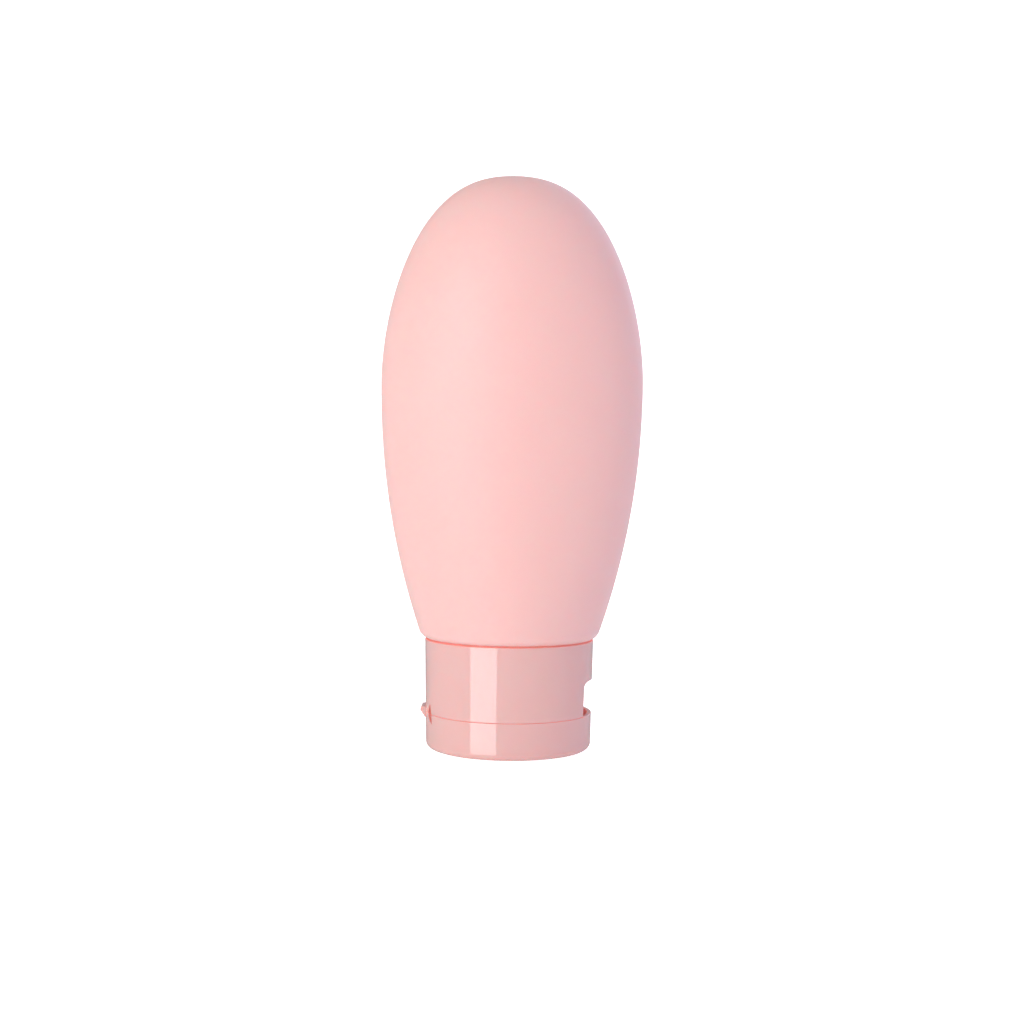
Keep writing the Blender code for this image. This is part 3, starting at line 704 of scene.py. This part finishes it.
def make_strap():
    """The strap: one section, of two wedges that meet in a thin film, carried along Y.

    Towards each end the section shrinks along its own normals by a quarter circle's sag, which
    rounds the strap's two edges. The faces of the split and of the foot in the wall stay put.
    """
    foot = -(SEAM_RADIUS - FOOT_DEPTH)
    film_outside = -(SEAM_RADIUS + HINGE_PROUD)
    high = SEAM_HEIGHT + STRAP_RISE
    low = SEAM_HEIGHT - STRAP_DROP
    section = rounded_line(
        [
            (foot, high, 0),
            (-(SEAM_RADIUS + STRAP_SHOULDER), high, STRAP_ROUND),
            (film_outside, HINGE_HEIGHT, STRAP_ROUND),
            (-SEAM_RADIUS, low, STRAP_ROUND),
            (foot, low, 0),
            (foot, HINGE_HEIGHT - STRAP_SPLIT / 2, 0),
            (film_outside + FILM_THICKNESS, HINGE_HEIGHT, FILM_ROUND),
            (foot, HINGE_HEIGHT + STRAP_SPLIT / 2, 0),
        ],
        closed=True,
        arc_steps=STRAP_ARC_STEPS,
        step=STRAP_ROUND / 2,
    )
    along = np.roll(section, -1, 0) - np.roll(section, 1, 0)
    normal = np.column_stack([along[:, 1], -along[:, 0]])
    normal /= np.linalg.norm(normal, axis=1)[:, None]
    angles = np.linspace(0, math.pi / 2, ARC_STEPS + 1)
    half = STRAP_WIDTH / 2 - STRAP_EDGE_ROUND
    reach = half + STRAP_EDGE_ROUND * np.sin(angles)
    sag = STRAP_EDGE_ROUND * (1 - np.cos(angles))
    between = np.linspace(-half, half, STRAP_SPANS + 1)[1:-1]
    places = np.concatenate([-reach[::-1], between, reach])
    insets = np.concatenate([sag[::-1], np.zeros(len(between)), sag])
    rows = np.empty((len(places), len(section), 3))
    rows[..., 1] = places[:, None]
    in_split = section[:, 0] > film_outside + FILM_THICKNESS / 2
    from_split = (np.abs(section[:, 1] - HINGE_HEIGHT) - STRAP_SPLIT / 2) / STRAP_EDGE_ROUND
    from_foot = (foot - section[:, 0]) / STRAP_EDGE_ROUND
    shrink = normal * (np.where(in_split, smooth(from_split), 1) * smooth(from_foot))[:, None]
    rows[..., ::2] = section[None] - shrink[None] * insets[:, None, None]
    count, sides = rows.shape[:2]
    index = np.arange(count * sides).reshape(count, sides)
    here, after = index[:-1], index[1:]
    quads = np.stack([here, after, np.roll(after, -1, 1), np.roll(here, -1, 1)], axis=-1)
    faces = quads.reshape(-1, 4).tolist() + [index[0].tolist(), index[-1].tolist()]
    return shade(add_object("hinge_strap", mesh_of("hinge_strap", rows.reshape(-1, 3), faces)))


# Seal liner


def make_liner():
    """A flat ring with eased edges."""
    line = rounded_line(
        [
            (LINER_OUTER_RADIUS, LINER_HIGH, EDGE_ROUND),
            (LINER_OUTER_RADIUS, LINER_LOW, EDGE_ROUND),
            (LINER_INNER_RADIUS, LINER_LOW, EDGE_ROUND),
            (LINER_INNER_RADIUS, LINER_HIGH, EDGE_ROUND),
        ],
        closed=True,
    )
    return shade(skin("liner", turned_rows(line, round_angles(BODY_SIDES)), ring=True))


# Materials


def new_group(name, inputs, outputs):
    """A shader node group with named inputs, each (name, socket type, value), and outputs."""
    group = bpy.data.node_groups.new(name, "ShaderNodeTree")
    for label, kind, value in inputs:
        socket = group.interface.new_socket(label, in_out="INPUT", socket_type=kind)
        socket.default_value = value
    for label, kind in outputs:
        group.interface.new_socket(label, in_out="OUTPUT", socket_type=kind)
    return group, group.nodes.new("NodeGroupInput"), group.nodes.new("NodeGroupOutput")


def math_node(tree, operation, first, second):
    """The output of a math node on two inputs, each a number or another node's output."""
    node = tree.nodes.new("ShaderNodeMath")
    node.operation = operation
    for socket, value in zip(node.inputs, (first, second)):
        if isinstance(value, (int, float)):
            socket.default_value = value
        else:
            tree.links.new(value, socket)
    return node.outputs[0]


def skin_and_painted_shade_group():
    """The skin of moulded plastic: slow waves of the wall, a fine grain and a faint mottle.

    Waves and grain are noises added up as heights in metres. The mottle is a slow noise that
    lightens and darkens the colour and shifts the roughness a little. Where the surface is
    sheltered, painted shade turns the colour towards a darker red crevice colour and the roughness
    rises, and a faint painted glow is given off, by a power of the shelter. Near the floor nothing
    counts as sheltered.
    """
    group, inlet, outlet = new_group(
        "skin_and_painted_shade",
        [
            ("Colour", "NodeSocketColor", (1, 1, 1, 1)),
            ("Roughness", "NodeSocketFloat", 0.5),
            ("Wave Height", "NodeSocketFloat", 0.00001),
            ("Wave Scale", "NodeSocketFloat", 60),
            ("Grain Height", "NodeSocketFloat", 0.000002),
            ("Grain Scale", "NodeSocketFloat", 4000),
            ("Mottle", "NodeSocketFloat", 0.02),
            ("Extra Height", "NodeSocketFloat", 0),
            ("Painted Shade Colour", "NodeSocketColor", (0.5, 0.5, 0.5, 1)),
            ("Crevice Reach", "NodeSocketFloat", 0.0015),
            ("Crevice Dulling", "NodeSocketFloat", 0),
            ("Painted Crevice Glow", "NodeSocketColor", (0, 0, 0, 1)),
        ],
        [
            ("Colour", "NodeSocketColor"),
            ("Roughness", "NodeSocketFloat"),
            ("Normal", "NodeSocketVector"),
            ("Glow", "NodeSocketColor"),
        ],
    )
    links = group.links
    place = group.nodes.new("ShaderNodeTexCoord").outputs["Object"]
    heights = [inlet.outputs["Extra Height"]]
    for label, detail in (("Wave", 1), ("Grain", 2)):
        noise = group.nodes.new("ShaderNodeTexNoise")
        noise.inputs["Detail"].default_value = detail
        links.new(place, noise.inputs["Vector"])
        links.new(inlet.outputs[label + " Scale"], noise.inputs["Scale"])
        heights.append(math_node(group, "MULTIPLY", noise.outputs["Fac"], inlet.outputs[label + " Height"]))
    total = math_node(group, "ADD", math_node(group, "ADD", heights[0], heights[1]), heights[2])
    bump = group.nodes.new("ShaderNodeBump")
    bump.inputs["Distance"].default_value = 1
    links.new(total, bump.inputs["Height"])
    links.new(bump.outputs["Normal"], outlet.inputs["Normal"])

    mottle = group.nodes.new("ShaderNodeTexNoise")
    mottle.inputs["Scale"].default_value = MOTTLE_SCALE
    mottle.inputs["Detail"].default_value = MOTTLE_DETAIL
    links.new(place, mottle.inputs["Vector"])
    swing = math_node(group, "SUBTRACT", mottle.outputs["Fac"], 0.5)
    swing = math_node(group, "MULTIPLY", swing, inlet.outputs["Mottle"])
    shift = group.nodes.new("ShaderNodeHueSaturation")
    links.new(inlet.outputs["Colour"], shift.inputs["Color"])
    links.new(math_node(group, "ADD", swing, 1), shift.inputs["Value"])

    # Painted shade: ambient occlusion finds the sheltered places, which are painted darker and redder
    shelter = group.nodes.new("ShaderNodeAmbientOcclusion")
    shelter.samples = SHELTER_SAMPLES
    links.new(inlet.outputs["Crevice Reach"], shelter.inputs["Distance"])
    depth = group.nodes.new("ShaderNodeMapRange")
    depth.inputs["From Min"].default_value = OPEN_SHARE
    depth.inputs["From Max"].default_value = SHELTERED_SHARE
    links.new(shelter.outputs["AO"], depth.inputs["Value"])
    split = group.nodes.new("ShaderNodeSeparateXYZ")
    links.new(place, split.inputs[0])
    above = group.nodes.new("ShaderNodeMapRange")
    above.inputs["From Min"].default_value = FLOOR_FADE_START
    above.inputs["From Max"].default_value = FLOOR_FADE_END
    links.new(split.outputs["Z"], above.inputs["Value"])
    sheltered = math_node(group, "MULTIPLY", depth.outputs["Result"], above.outputs["Result"])
    # Painted shade: the colour mixed towards the crevice colour where the surface is sheltered
    painted_shade = group.nodes.new("ShaderNodeMix")
    painted_shade.data_type = "RGBA"
    links.new(sheltered, painted_shade.inputs["Factor"])
    links.new(shift.outputs["Color"], painted_shade.inputs["A"])
    links.new(inlet.outputs["Painted Shade Colour"], painted_shade.inputs["B"])
    links.new(painted_shade.outputs["Result"], outlet.inputs["Colour"])
    # Painted glow: a faint light given off in the most sheltered places, sent to the emission
    painted_glow = group.nodes.new("ShaderNodeMix")
    painted_glow.data_type = "RGBA"
    painted_glow.inputs["A"].default_value = (0, 0, 0, 1)
    deep = math_node(group, "POWER", sheltered, CREVICE_GLOW_POWER)
    links.new(deep, painted_glow.inputs["Factor"])
    links.new(inlet.outputs["Painted Crevice Glow"], painted_glow.inputs["B"])
    links.new(painted_glow.outputs["Result"], outlet.inputs["Glow"])
    dull = math_node(group, "MULTIPLY", sheltered, inlet.outputs["Crevice Dulling"])
    rough = math_node(group, "ADD", math_node(group, "ADD", inlet.outputs["Roughness"], swing), dull)
    links.new(rough, outlet.inputs["Roughness"])
    return group


def parting_line_group():
    """A fine moulded line where a plane cuts the surface: one at the plane, nought a width away."""
    group, inlet, outlet = new_group(
        "parting_line",
        [
            ("Across", "NodeSocketFloat", 0),
            ("Width", "NodeSocketFloat", 0.0001),
            ("Height", "NodeSocketFloat", 0.00002),
        ],
        [("Height", "NodeSocketFloat")],
    )
    away = math_node(group, "ABSOLUTE", inlet.outputs["Across"], 0)
    share = math_node(group, "DIVIDE", away, inlet.outputs["Width"])
    ease = group.nodes.new("ShaderNodeMapRange")
    ease.interpolation_type = "SMOOTHSTEP"
    ease.inputs["To Min"].default_value = 1
    ease.inputs["To Max"].default_value = 0
    group.links.new(share, ease.inputs["Value"])
    height = math_node(group, "MULTIPLY", ease.outputs["Result"], inlet.outputs["Height"])
    group.links.new(height, outlet.inputs["Height"])
    return group


def add_group(tree, group, values):
    """A group placed in a material, with the material's own values on its inputs."""
    node = tree.nodes.new("ShaderNodeGroup")
    node.node_tree = group
    for label, value in values.items():
        node.inputs[label].default_value = value
    return node


def plastic(name, surface, values, shader_values):
    """A plastic with the moulded surface and its painted shade and glow, and the shader's own constants set
    on its sockets.
    """
    material = bpy.data.materials.new(name)
    material.use_nodes = True
    tree = material.node_tree
    shader = tree.nodes["Principled BSDF"]
    for label, value in shader_values.items():
        shader.inputs[label].default_value = value
    node = add_group(tree, surface, values)
    tree.links.new(node.outputs["Colour"], shader.inputs["Base Color"])
    tree.links.new(node.outputs["Roughness"], shader.inputs["Roughness"])
    tree.links.new(node.outputs["Normal"], shader.inputs["Normal"])
    # Painted glow from sheltered places goes to the emission
    tree.links.new(node.outputs["Glow"], shader.inputs["Emission Color"])
    return material, tree, node


def make_materials():
    """Soft matte for the body, polished for closure and strap, and foam for the liner."""
    surface = skin_and_painted_shade_group()
    parting_line = parting_line_group()
    soak = {
        "Subsurface Weight": SOAK_WEIGHT,
        "Subsurface Radius": SOAK_SHARES,
        "Subsurface Scale": SOAK_DEPTH,
    }
    matte, tree, node = plastic(
        "soft_touch_pink",
        surface,
        {
            "Colour": MATTE_TINT,
            # Painted shade: a coral colour in the seam and other crevices of the body
            "Painted Shade Colour": MATTE_PAINTED_SHADE_TINT,
            "Roughness": 0.50,
            "Wave Height": 0.00002,
            "Wave Scale": 45,
            "Grain Height": 0.0000012,
            "Grain Scale": 5200,
            "Mottle": 0.02,
            "Crevice Reach": MATTE_CREVICE_REACH,
        },
        {"IOR": 1.45, "Sheen Weight": 0.08, "Sheen Roughness": 0.4} | soak,
    )
    split = tree.nodes.new("ShaderNodeSeparateXYZ")
    tree.links.new(tree.nodes.new("ShaderNodeTexCoord").outputs["Object"], split.inputs[0])
    line_values = {"Width": PARTING_LINE_WIDTH, "Height": PARTING_LINE_HEIGHT}
    line = add_group(tree, parting_line, line_values)
    tree.links.new(split.outputs["Y"], line.inputs["Across"])
    tree.links.new(line.outputs["Height"], node.inputs["Extra Height"])

    gloss_surface = {
        "Colour": GLOSS_TINT,
        # Painted shade: a deep red in the seams, slits and recess of closure and lid
        "Painted Shade Colour": GLOSS_PAINTED_SHADE_TINT,
        "Roughness": 0.07,
        "Wave Height": 0.000006,
        "Wave Scale": 120,
        "Grain Height": 0.0000001,
        "Grain Scale": 3000,
        "Mottle": 0.015,
        "Crevice Reach": GLOSS_CREVICE_REACH,
        "Crevice Dulling": CREVICE_DULLING,
        # Painted glow in the deepest crevices
        "Painted Crevice Glow": PAINTED_CREVICE_GLOW,
    }
    # Emission strength one lets the painted glow show
    gloss_shader = {"IOR": 1.5, "Emission Strength": 1} | soak
    gloss, _, _ = plastic("polished_pink", surface, gloss_surface, gloss_shader)
    # The strap gets painted shade over a much shorter reach
    strap_surface = gloss_surface | {"Crevice Reach": STRAP_CREVICE_REACH}
    strap_gloss, _, _ = plastic("strap_pink", surface, strap_surface, gloss_shader)
    foam, _, _ = plastic(
        "liner_foam",
        surface,
        {
            "Colour": FOAM_TINT,
            "Roughness": 0.85,
            "Wave Height": 0.00003,
            "Wave Scale": 900,
            "Grain Height": 0.00002,
            "Grain Scale": 5000,
            "Mottle": 0.06,
            # Painted shade: a greyer tone in the foam's crevices
            "Painted Shade Colour": FOAM_PAINTED_SHADE_TINT,
        },
        {"IOR": 1.4},
    )
    return matte, gloss, strap_gloss, foam


# Stage


def emitter(name, colour, bearing, away, up, wide, tall, power, glossy=True):
    """A soft rectangular light at a bearing, turned to the bottle's middle."""
    light = bpy.data.lights.new(name, "AREA")
    light.shape = "RECTANGLE"
    light.size, light.size_y = wide, tall
    light.energy = power
    light.color = colour
    angle = math.radians(bearing)
    place = Vector((away * math.sin(angle), -away * math.cos(angle), up))
    aim = Vector((0, 0, OVERALL_HEIGHT / 2))
    obj = bpy.data.objects.new(name, light)
    obj.location = place
    obj.rotation_euler = (aim - place).to_track_quat("-Z", "Y").to_euler()
    obj.visible_glossy = glossy
    bpy.context.scene.collection.objects.link(obj)


def camera_lift(tree, socket, plain, seen):
    """Sets a strength that is plain for the light itself and seen where the camera looks at it."""
    path = tree.nodes.new("ShaderNodeLightPath")
    lift = math_node(tree, "MULTIPLY", path.outputs["Is Camera Ray"], seen - plain)
    tree.links.new(math_node(tree, "ADD", lift, plain), socket)


def make_floor():
    """A pale floor that curves up behind."""
    corners = [(-FLOOR_FRONT, 0, 0), (FLOOR_BACK, 0, FLOOR_BEND), (FLOOR_BACK, FLOOR_TOP, 0)]
    line = rounded_line(corners, arc_steps=FLOOR_BEND_STEPS, step=FLOOR_STEP)
    count = len(line)
    points = np.empty((2 * count, 3))
    points[:, 0] = np.repeat([-FLOOR_HALF_WIDTH, FLOOR_HALF_WIDTH], count)
    points[:, 1:] = np.tile(line, (2, 1))
    near = np.arange(count - 1)
    faces = np.column_stack([near, near + 1, near + 1 + count, near + count]).tolist()
    mesh = bpy.data.meshes.new("floor")
    mesh.from_pydata(points.tolist(), [], faces)
    mesh.shade_smooth()
    floor = add_object("floor", mesh)
    material = bpy.data.materials.new("pale_floor")
    material.use_nodes = True
    shader = material.node_tree.nodes["Principled BSDF"]
    shader.inputs["Base Color"].default_value = FLOOR_TONE
    shader.inputs["Roughness"].default_value = FLOOR_ROUGHNESS
    shader.inputs["Specular IOR Level"].default_value = 0
    shader.inputs["Emission Color"].default_value = (*WHITE, 1)
    strength = shader.inputs["Emission Strength"]
    camera_lift(material.node_tree, strength, FLOOR_GLOW, FLOOR_GLOW_SEEN)
    mesh.materials.append(material)
    floor.visible_glossy = False


def make_lights():
    """White light all round, a tall soft key from the left, cool fills and a rim light right."""
    world = bpy.data.worlds.new("white_room")
    bpy.context.scene.world = world
    world.use_nodes = True
    background = world.node_tree.nodes["Background"]
    background.inputs["Color"].default_value = (*WHITE, 1)
    camera_lift(world.node_tree, background.inputs["Strength"], ROOM_GLOW, ROOM_GLOW_SEEN)

    emitter("key_light", WHITE, **KEY_LIGHT)
    emitter("high_fill", COOL, **HIGH_FILL, glossy=False)
    emitter("side_fill", COOL, **SIDE_FILL, glossy=False)
    emitter("rim_light", RIM_TINT, **RIM_LIGHT)


def make_camera():
    """The photograph's viewpoint: turned a little down and aside, and rolled.

    The turn down is the angle whose tangent is the horizon's drop over the focal length, both in
    pixels, and the turn aside is found in the same way.
    """
    data = bpy.data.cameras.new("camera")
    data.sensor_width = SENSOR_WIDTH
    data.lens = SENSOR_WIDTH * FOCAL_PIXELS / PHOTO_WIDTH
    data.clip_start, data.clip_end = NEAREST_SEEN, FARTHEST_SEEN
    camera = bpy.data.objects.new("camera", data)
    camera.location = (0, -CAMERA_DISTANCE, CAMERA_HEIGHT)
    tilt = Matrix.Rotation(math.pi / 2 - math.atan(HORIZON_DROP / FOCAL_PIXELS), 4, "X")
    turn = Matrix.Rotation(-math.atan(AXIS_OFFSET / FOCAL_PIXELS), 4, "Z")
    camera.rotation_euler = (turn @ tilt @ Matrix.Rotation(CAMERA_ROLL, 4, "Z")).to_euler()
    bpy.context.scene.collection.objects.link(camera)
    bpy.context.scene.camera = camera


# Assembly

soft_matte, polished, strap_polished, foam = make_materials()

bottle = make_bottle()
bottle.data.materials.append(soft_matte)
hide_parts("bottle_body")
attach(bottle, "bottle")

liner = make_liner()
liner.data.materials.append(foam)
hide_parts("seal_liner")
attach(liner, "seal")

base = make_base()
base.data.materials.append(polished)
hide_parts("cap_base")
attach(base, "closure")

lid = make_lid()
lid.data.materials.append(polished)
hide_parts("cap_lid")
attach(lid, "lid")

strap = make_strap()
strap.data.materials.append(strap_polished)
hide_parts("living_hinge")
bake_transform(strap)

make_floor()
make_lights()
make_camera()
bpy.context.scene.view_settings.view_transform = "Standard"
